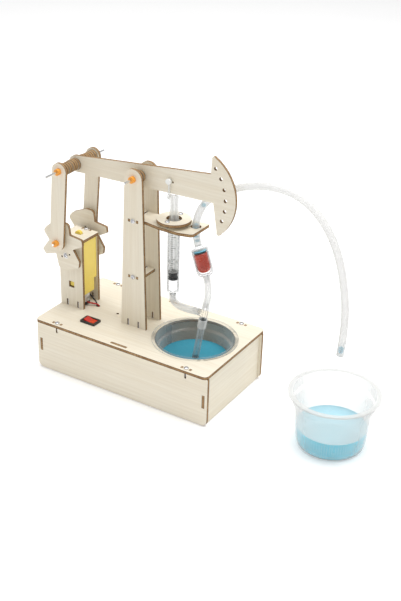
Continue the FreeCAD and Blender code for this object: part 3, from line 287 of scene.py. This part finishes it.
def water(name, body, top_sheen_colour, centre_alpha, edge_alpha):
    """Dyed water: clearer and paler on its level top than through its depth; the paler top is a
    painted sheen of the light from above.
    """
    s = clear(name, body, centre_alpha, edge_alpha, 0.03, 0.30, 1.33)
    upright = s.part(s.coords.outputs["Normal"], 2)
    # painted sheen: faces that look up get the paler top colour, as if they mirrored the bright light
    # above
    top = s.ramp(upright, (0.80, 0.0), (0.96, 1.0))
    swirl = s.ramp(s.noise(30.0, 3.0), (0.35, 0.0), (0.75, 0.35))
    tinted = s.mix(swirl, body, tuple(c * 1.25 for c in body))
    s.colour(s.mix(top, tinted, top_sheen_colour))
    s.bump(s.noise(160.0, 2.0), 0.05, 0.0001)
    return s


def make_materials():
    made = {
        "yellow": moulded("yellow_abs", (0.86, 0.66, 0.10), 0.30, 0.42, 0.06),
        "black": moulded("black_abs", (0.020, 0.020, 0.022), 0.32, 0.48, 0.3),
        "orange": moulded("orange_pvc", (0.90, 0.36, 0.04), 0.35, 0.48, 0.15),
        "white": moulded("white_nylon", (0.86, 0.86, 0.83), 0.35, 0.45, 0.05),
        "red": moulded("red_valve", (0.58, 0.055, 0.022), 0.22, 0.34, 0.3),
        "rocker": moulded("red_rocker", (0.62, 0.035, 0.022), 0.12, 0.22, 0.15),
        "red_wire": moulded("red_pvc", (0.56, 0.030, 0.025), 0.30, 0.42, 0.2),
        "black_wire": moulded("black_pvc", (0.018, 0.018, 0.020), 0.30, 0.42, 0.3),
        "rubber": moulded("black_rubber", (0.016, 0.016, 0.017), 0.50, 0.65, 0.3, 0.15),
        "jacket": moulded("cell_jacket", (0.06, 0.11, 0.26), 0.25, 0.35, 0.2),
        "steel_y": brushed("steel_axle", (0.88, 0.88, 0.88), Y, 0.14, 0.28),
        "steel_z": brushed("motor_steel", (0.62, 0.62, 0.63), Z, 0.26, 0.42),
        "chrome": brushed("zinc_screw", (0.72, 0.72, 0.74), Z, 0.16, 0.30),
        "tube": clear("clear_pvc", (0.74, 0.735, 0.715), 0.46, 0.92, 0.12, 0.46),
        # a lighter, more see-through copy of the discharge hose's clear PVC: painted light that lifts
        # the shade inside these hollow tubes' bores
        "short_tube_lit": clear("clear_pvc_link_lit", (0.88, 0.88, 0.86), 0.28, 0.80, 0.12, 0.46),
        "thin_tube": clear("thin_clear_tube", (0.64, 0.70, 0.72), 0.10, 0.70, 0.06, 0.46),
        "hard": clear("clear_styrene", (0.40, 0.42, 0.42), 0.030, 0.95, 0.05, 0.38, onset=0.20),
        "stem": clear("plunger_plastic", (0.86, 0.87, 0.85), 0.36, 0.80, 0.25, 0.32),
        "cup": clear("sump_polypropylene", (0.60, 0.64, 0.63), 0.10, 0.86, 0.10, 0.44, level=0.08),
        "free_cup": clear("clear_polypropylene", (0.70, 0.705, 0.69), 0.15, 0.58, 0.10, 0.46,
                          level=0.66),
        # the sump's water is a darker copy of the same water: the shade it stands in inside the sump
        # is painted into its colour. The receiving cup's water on the next line is the lit copy.
        "water": water("blue_water", (0.015, 0.26, 0.42), (0.060, 0.34, 0.46), 0.80, 0.93),
        "lit_water": water("lit_blue_water", (0.04, 0.76, 1.0), (0.50, 0.80, 0.90), 0.66, 0.84),
        "drop": water("water_drop", (0.16, 0.62, 0.82), (0.30, 0.72, 0.88), 0.80, 0.90),
        "ink": moulded("scale_ink", (0.03, 0.03, 0.035), 0.45, 0.6, 0.3),
    }
    return {key: shader.material for key, shader in made.items()}


MATS = make_materials()

PLAIN_NODES = {
    "gearbox_casing": "yellow", "motor_can": "steel_z", "motor_end_cap": "black",
    "switch_bezel": "black", "switch_rocker": "rocker", "battery_holder": "black",
    "battery_cells": "jacket", "battery_contacts": "steel_z", "frame_screws": "chrome",
    "crank_screws": "chrome", "pivot_axle": "steel_y", "tail_axle": "steel_y",
    "near_rod_pin": "steel_y", "far_rod_pin": "steel_y", "pivot_bushes": "orange",
    "tail_bushes": "orange", "near_rod_bush": "orange", "far_rod_bush": "orange",
    "motor_shaft": "white", "red_wires": "red_wire", "black_wire": "black_wire",
    "syringe_barrel": "hard", "syringe_hose": "short_tube_lit", "tee_connector": "hard",
    "suction_tube": "thin_tube", "suction_sleeve": "short_tube_lit", "foot_valve": "hard",
    "foot_valve_ball": "steel_z", "valve_hose": "short_tube_lit", "valve_housing": "hard",
    "valve_core": "red", "plunger_pin": "white", "plunger_link": "stem", "plunger": "stem",
    "plunger_stopper": "rubber", "sump_cup": "cup", "sump_water": "water",
    "receiving_cup": "free_cup", "receiving_water": "lit_water",
}


SOFT_EDGES = {
    "gearbox_casing": 0.5, "motor_can": 0.3, "motor_end_cap": 0.4, "switch_bezel": 0.25,
    "switch_rocker": 0.25, "battery_holder": 0.3, "pivot_bushes": 0.25, "tail_bushes": 0.25,
    "near_rod_bush": 0.25, "far_rod_bush": 0.25, "motor_shaft": 0.2, "plunger_pin": 0.3,
    "valve_housing": 0.25, "valve_core": 0.3, "tail_axle": 0.15, "pivot_axle": 0.15,
}


def soften(node, width):
    """A small round, width in mm, on every sharp arris of a moulded or turned part."""
    bevel = NODES[node].modifiers.new("arris", "BEVEL")
    bevel.width = width * MM
    bevel.segments = 2
    bevel.limit_method = "ANGLE"
    bevel.angle_limit = math.radians(40.0)
    bevel.use_clamp_overlap = True


def dress_plain():
    for node, key in PLAIN_NODES.items():
        dress(node, MATS[key])
    for node, width in SOFT_EDGES.items():
        soften(node, width)


# ---------------------------------------------------------------- mesh helpers
def new_piece(name, mesh, material, body, replaced=()):
    piece = bpy.data.objects.new(name, mesh)
    bpy.context.scene.collection.objects.link(piece)
    mesh.materials.append(material)
    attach(piece, body)
    if replaced:
        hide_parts(*replaced)


def smooth(mesh, angle_deg=35.0):
    for polygon in mesh.polygons:
        polygon.use_smooth = True
    mesh.set_sharp_from_angle(angle=math.radians(angle_deg))


def bridge(bm, low, high):
    """Quads between two closed rings of as many points."""
    count = len(low)
    for k in range(count):
        m = (k + 1) % count
        bm.faces.new((low[k], low[m], high[m], high[k]))


def closed_mesh(name, bm):
    bmesh.ops.recalc_face_normals(bm, faces=bm.faces)
    mesh = bpy.data.meshes.new(name)
    bm.to_mesh(mesh)
    bm.free()
    return mesh


# ---------------------------------------------------------------- discharge hose
HOSE = 6.0 * MM
# route of the discharge hose in mm, from the head of the valve to its open end
DISCHARGE = [(43.0, 4.4, 129.4), (41.04, 4.74, 134.53), (39.37, 5.3, 142.87), (39.98, 6.0, 152.35),
             (43.64, 6.7, 162.19), (51.37, 7.4, 172.01), (65.46, 7.9, 181.52), (96.0, 7.4, 192.9),
             (125.5, 6.4, 192.6), (148.5, 5.0, 178.5), (164.0, 3.6, 155.0), (172.6, 2.4, 124.0),
             (175.2, 1.6, 97.0), (173.6, 1.0, 74.0)]


def route_curve(name, points, radius):
    """Round cord whose centre line is one smooth NURBS through given control points."""
    data = bpy.data.curves.new(name, "CURVE")
    data.dimensions = "3D"
    spline = data.splines.new("NURBS")
    spline.points.add(len(points) - 1)
    for place, point in zip(spline.points, points):
        place.co = (*at(*point), 1.0)
    spline.order_u = 3
    spline.use_endpoint_u = True
    data.resolution_u = 16
    data.bevel_depth = radius
    data.bevel_resolution = 8
    data.use_fill_caps = True
    return data


def make_discharge_hose():
    """Clear hose with an open end."""
    data = route_curve("discharge_hose_line", DISCHARGE, HOSE / 2)
    data.materials.append(MATS["tube"])
    hose = bpy.data.objects.new("discharge_hose_visual", data)
    bpy.context.scene.collection.objects.link(hose)
    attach(hose, "frame")
    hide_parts("discharge_hose")
    return hose


def lay_points(spline_object):
    """Points along the evaluated centre line of a cord, with no bevel."""
    data = spline_object.data.copy()
    data.bevel_depth = 0.0
    data.resolution_u = 32
    line = bpy.data.objects.new("centre_line", data)
    bpy.context.scene.collection.objects.link(line)
    bpy.context.view_layer.update()
    mesh = bpy.data.meshes.new_from_object(line.evaluated_get(bpy.context.evaluated_depsgraph_get()))
    points = [vertex.co.copy() for vertex in mesh.vertices]
    bpy.data.objects.remove(line)
    bpy.data.curves.remove(data)
    bpy.data.meshes.remove(mesh)
    return points


def tube_mesh(name, points, radii, sides=20):
    """Closed round mesh along points, one radius at each."""
    bm = bmesh.new()
    rings = []
    side = None
    for i, point in enumerate(points):
        ahead = (points[min(i + 1, len(points) - 1)] - points[max(i - 1, 0)]).normalized()
        if side is None:
            side = ahead.cross(Vector((0.0, 1.0, 0.0))).normalized()
        side = (side - ahead * side.dot(ahead)).normalized()
        up = ahead.cross(side)
        ring = []
        for k in range(sides):
            turn = 2 * math.pi * k / sides
            ring.append(bm.verts.new(point + (side * math.cos(turn) + up * math.sin(turn)) * radii[i]))
        rings.append(ring)
    for low, high in zip(rings, rings[1:]):
        bridge(bm, low, high)
    bm.faces.new(list(reversed(rings[0])))
    bm.faces.new(rings[-1])
    mesh = closed_mesh(name, bm)
    smooth(mesh, 50.0)
    return mesh


# start and length of each slug of water in the discharge hose, as shares of its length
SLUGS = [(0.026, 0.018), (0.056, 0.014), (0.078, 0.020), (0.125, 0.016), (0.152, 0.014),
         (0.300, 0.016), (0.987, 0.012)]
SLUG_RADIUS = 2.05 * MM


def slug_radius(share):
    """Full between two rounded ends."""
    return SLUG_RADIUS * math.sqrt(max(0.02, 1.0 - (2.0 * share - 1.0) ** 4))


def make_slugs(line):
    count = len(line) - 1
    for index, (start, share) in enumerate(SLUGS):
        first = int(start * count)
        last = min(count, int((start + share) * count))
        stretch = line[first:last + 1]
        radii = [slug_radius(i / (len(stretch) - 1)) for i in range(len(stretch))]
        mesh = tube_mesh("hose_water_%d" % index, stretch, radii, 16)
        new_piece("hose_water_%d" % index, mesh, MATS["drop"], "frame")


# ---------------------------------------------------------------- screws
SCREW_HEAD_RADIUS = 2.0 * MM
SCREW_HEAD_HEIGHT = 1.3 * MM
SCREW_SHANK_RADIUS = 0.8 * MM
SCREW_LENGTH = 8.0 * MM
RECESS_LONG = 1.15 * MM
RECESS_WIDE = 0.30 * MM
RECESS_DEEP = 0.65 * MM
DOWN, RAISE, INWARD, OUTWARD = (0, 0, -1), (0, 0, 1), (0, 1, 0), (0, -1, 0)
FRAME_SCREWS = (
    [((x, y, 47.0), DOWN) for x in (-64.2, 64.2) for y in (-43.75, 43.75)]
    + [((x, y, 44.5), RAISE) for x in (-77.8, -66.7, -14.0, -3.6) for y in (-10.65, 10.65)]
    + [((-73.0, y, 111.6), DOWN) for y in (-10.65, 10.65)]
    + [((-8.8, -11.9, z), INWARD) for z in (143.3, 93.5)]
    + [((-8.8, 11.9, z), OUTWARD) for z in (143.3, 93.5)]
    + [((22.5, y, 149.55), DOWN) for y in (-9.8, 9.8)])
CRANK_SCREWS = [((-73.0, -18.5, 98.0), INWARD), ((-73.0, 18.5, 98.0), OUTWARD)]


def dome_height(radius):
    share = radius / SCREW_HEAD_RADIUS
    return SCREW_HEAD_HEIGHT * (0.42 + 0.58 * math.sqrt(max(0.0, 1.0 - share ** 2.6)))


def add_screw(bm, head, direction, shank_length, turn):
    """Pan head with a cross recess, and a threaded shank along direction."""
    axis = Vector(direction)
    frame_of = axis.to_track_quat("Z", "Y").to_matrix() @ Matrix.Rotation(turn, 3, "Z")
    base = at(*head)
    sides = 48
    steps = 18
    rings = []
    for i in range(1, steps + 1):
        radius = SCREW_HEAD_RADIUS * i / steps
        ring = []
        for k in range(sides):
            angle = 2 * math.pi * k / sides
            x, y = radius * math.cos(angle), radius * math.sin(angle)
            height = dome_height(radius)
            in_cross = (min(abs(x), abs(y)) < RECESS_WIDE and max(abs(x), abs(y)) < RECESS_LONG)
            if in_cross:
                height -= RECESS_DEEP * (1.0 - 0.4 * radius / RECESS_LONG)
            ring.append(bm.verts.new(base + frame_of @ Vector((x, y, -height))))
        rings.append(ring)
    middle = bm.verts.new(base + frame_of @ Vector((0, 0, -dome_height(0.0) + RECESS_DEEP)))
    for k in range(sides):
        bm.faces.new((middle, rings[0][k], rings[0][(k + 1) % sides]))
    under = [(SCREW_HEAD_RADIUS * 0.97, -0.02 * MM), (SCREW_SHANK_RADIUS, -0.01 * MM)]
    pitch = 0.7 * MM
    reach = 0.3 * MM
    while reach < shank_length - pitch:
        under += [(SCREW_SHANK_RADIUS * 0.78, reach), (SCREW_SHANK_RADIUS, reach + pitch * 0.5)]
        reach += pitch
    under.append((SCREW_SHANK_RADIUS * 0.3, shank_length))
    for radius, depth in under:
        rings.append([bm.verts.new(base + frame_of @ Vector((
            radius * math.cos(2 * math.pi * k / sides), radius * math.sin(2 * math.pi * k / sides),
            depth))) for k in range(sides)])
    for low, high in zip(rings, rings[1:]):
        bridge(bm, low, high)
    bm.faces.new(list(reversed(rings[-1])))


def make_screws(name, places, shank_length, body, node):
    bm = bmesh.new()
    for index, (head, direction) in enumerate(places):
        add_screw(bm, head, direction, shank_length, 0.35 + 0.9 * index)
    mesh = closed_mesh(name, bm)
    smooth(mesh, 38.0)
    new_piece(name, mesh, MATS["chrome"], body, [node])


# ---------------------------------------------------------------- syringe scale and valve seal
SYRINGE_X = 22.5
BARREL_RADIUS = 5.10
SCALE_LOW = 97.0
SCALE_STEP = 1.9
SCALE_TICKS = 23
TICK_SINK = 0.006               # mm that a tick goes into the barrel
TICK_THICK = 0.02
TICK_LONG, TICK_SHORT = 0.80, 0.38      # turn round the barrel, in radians
TICK_CELLS = 10
SCALE_AZIMUTH = math.radians(-84.0)
TICK_HALF = 0.17


def make_syringe_scale():
    """Printed ticks, a long one at every fifth, round a part of the barrel."""
    bm = bmesh.new()
    inner = BARREL_RADIUS - TICK_SINK
    outer = inner + TICK_THICK
    section = [(inner, -TICK_HALF), (outer, -TICK_HALF), (outer, TICK_HALF), (inner, TICK_HALF)]
    for i in range(SCALE_TICKS):
        wide = TICK_LONG if i % 5 == 0 else TICK_SHORT
        z = SCALE_LOW + i * SCALE_STEP
        rows = []
        for j in range(TICK_CELLS + 1):
            angle = SCALE_AZIMUTH + wide * j / TICK_CELLS
            column = []
            for r, dz in section:
                corner = at(SYRINGE_X + r * math.cos(angle), r * math.sin(angle), z + dz)
                column.append(bm.verts.new(corner))
            rows.append(column)
        for low, high in zip(rows, rows[1:]):
            bridge(bm, low, high)
        bm.faces.new(list(reversed(rows[0])))
        bm.faces.new(rows[-1])
    mesh = closed_mesh("syringe_scale", bm)
    new_piece("syringe_scale", mesh, MATS["ink"], "frame")


VALVE_FOOT = at(52.1, 2.85, 105.6)
VALVE_HEAD = at(43.0, 4.4, 129.4)
VALVE_AXIS = (VALVE_HEAD - VALVE_FOOT).normalized()


def ring_mesh(name, centre, axis, ring_radius, wire_radius, around=64, sides=14):
    """Round-section ring about an axis."""
    frame_of = axis.to_track_quat("Z", "Y").to_matrix()
    bm = bmesh.new()
    rings = []
    for i in range(around):
        turn = 2 * math.pi * i / around
        out = Vector((math.cos(turn), math.sin(turn), 0.0))
        ring = []
        for k in range(sides):
            tilt = 2 * math.pi * k / sides
            rise = Vector((0, 0, wire_radius * math.sin(tilt)))
            place = out * (ring_radius + wire_radius * math.cos(tilt)) + rise
            ring.append(bm.verts.new(centre + frame_of @ place))
        rings.append(ring)
    for i in range(around):
        bridge(bm, rings[i], rings[(i + 1) % around])
    mesh = closed_mesh(name, bm)
    smooth(mesh, 60.0)
    return mesh


def make_valve_seal():
    """Black sealing ring on top of the red body, and the water that stands above it."""
    seal = ring_mesh("valve_seal", VALVE_FOOT + VALVE_AXIS * 19.9 * MM, VALVE_AXIS, 4.6 * MM, 0.7 * MM)
    new_piece("valve_seal", seal, MATS["rubber"], "frame")
    line = [VALVE_FOOT + VALVE_AXIS * d * MM for d in (20.7, 20.9, 21.4, 21.6)]
    pool = tube_mesh("valve_water", line, [5.2 * MM, 5.5 * MM, 5.5 * MM, 5.2 * MM], 40)
    new_piece("valve_water", pool, MATS["drop"], "frame")


# ---------------------------------------------------------------- camera, floor and light
CAMERA_PLACE = (445.76, -661.83, 491.18)    # mm, from the centre of the base
CAMERA_AZIMUTH = 30.934
CAMERA_ELEVATION = 27.823
CAMERA_ROLL = 1.762
CAMERA_LENS = 64.68
FLOOR_SIZE = 12.0


def make_camera():
    data = bpy.data.cameras.new("camera")
    data.lens = CAMERA_LENS
    data.sensor_width = 36.0
    data.clip_start = 0.01
    data.clip_end = 50.0
    camera = bpy.data.objects.new("camera", data)
    bpy.context.scene.collection.objects.link(camera)
    azimuth = math.radians(CAMERA_AZIMUTH)
    elevation = math.radians(CAMERA_ELEVATION)
    back = Vector((math.sin(azimuth) * math.cos(elevation),
                   -math.cos(azimuth) * math.cos(elevation), math.sin(elevation)))
    level = back.to_track_quat("Z", "Y").to_matrix()
    roll = Matrix.Rotation(math.radians(CAMERA_ROLL), 3, "Z")
    camera.matrix_world = Matrix.Translation(at(*CAMERA_PLACE)) @ (level @ roll).to_4x4()
    bpy.context.scene.camera = camera


def make_floor():
    mesh = bpy.data.meshes.new("floor")
    half = FLOOR_SIZE / 2
    mesh.from_pydata([(-half, -half, 0), (half, -half, 0), (half, half, 0), (-half, half, 0)],
                     [], [(0, 1, 2, 3)])
    floor = bpy.data.objects.new("floor", mesh)
    bpy.context.scene.collection.objects.link(floor)
    floor.location.z = -0.0004
    s = Shader("floor_paint")
    s.colour(s.ramp(s.noise(3.0, 2.0), (0.3, 0.90), (0.7, 0.92)))
    s.rough(0.85)
    s.set(emission_color=(1.0, 1.0, 1.0), emission_strength=0.20)
    mesh.materials.append(s.material)


def area_light(name, place, target, size, power, colour=(1.0, 1.0, 1.0)):
    data = bpy.data.lights.new(name, "AREA")
    data.energy = power
    data.size = size
    data.color = colour
    light = bpy.data.objects.new(name, data)
    bpy.context.scene.collection.objects.link(light)
    light.location = place
    light.rotation_euler = (Vector(target) - Vector(place)).to_track_quat("-Z", "Y").to_euler()


def make_lights():
    world = bpy.data.worlds.new("studio")
    bpy.context.scene.world = world
    world.use_nodes = True
    background = world.node_tree.nodes["Background"]
    background.inputs["Color"].default_value = (1.0, 1.0, 1.0, 1.0)
    background.inputs["Strength"].default_value = 0.55
    centre = (0.0, 0.0, 0.08)
    area_light("key", (0.55, 0.25, 1.45), centre, 0.9, 11.5)
    area_light("fill", (-0.5, -1.1, 0.7), centre, 1.2, 1.2)
    area_light("top", (-0.30, 0.15, 1.5), centre, 1.0, 12.0)
    bpy.context.scene.view_settings.view_transform = "Standard"


# ---------------------------------------------------------------- build
make_camera()
make_floor()
make_lights()
dress_wood()
dress_plain()
discharge_hose = make_discharge_hose()
make_slugs(lay_points(discharge_hose))
make_screws("frame_screws_visual", FRAME_SCREWS, SCREW_LENGTH, "frame", "frame_screws")
make_screws("crank_screws_visual", CRANK_SCREWS, 5.0 * MM, "crank", "crank_screws")
make_syringe_scale()
make_valve_seal()
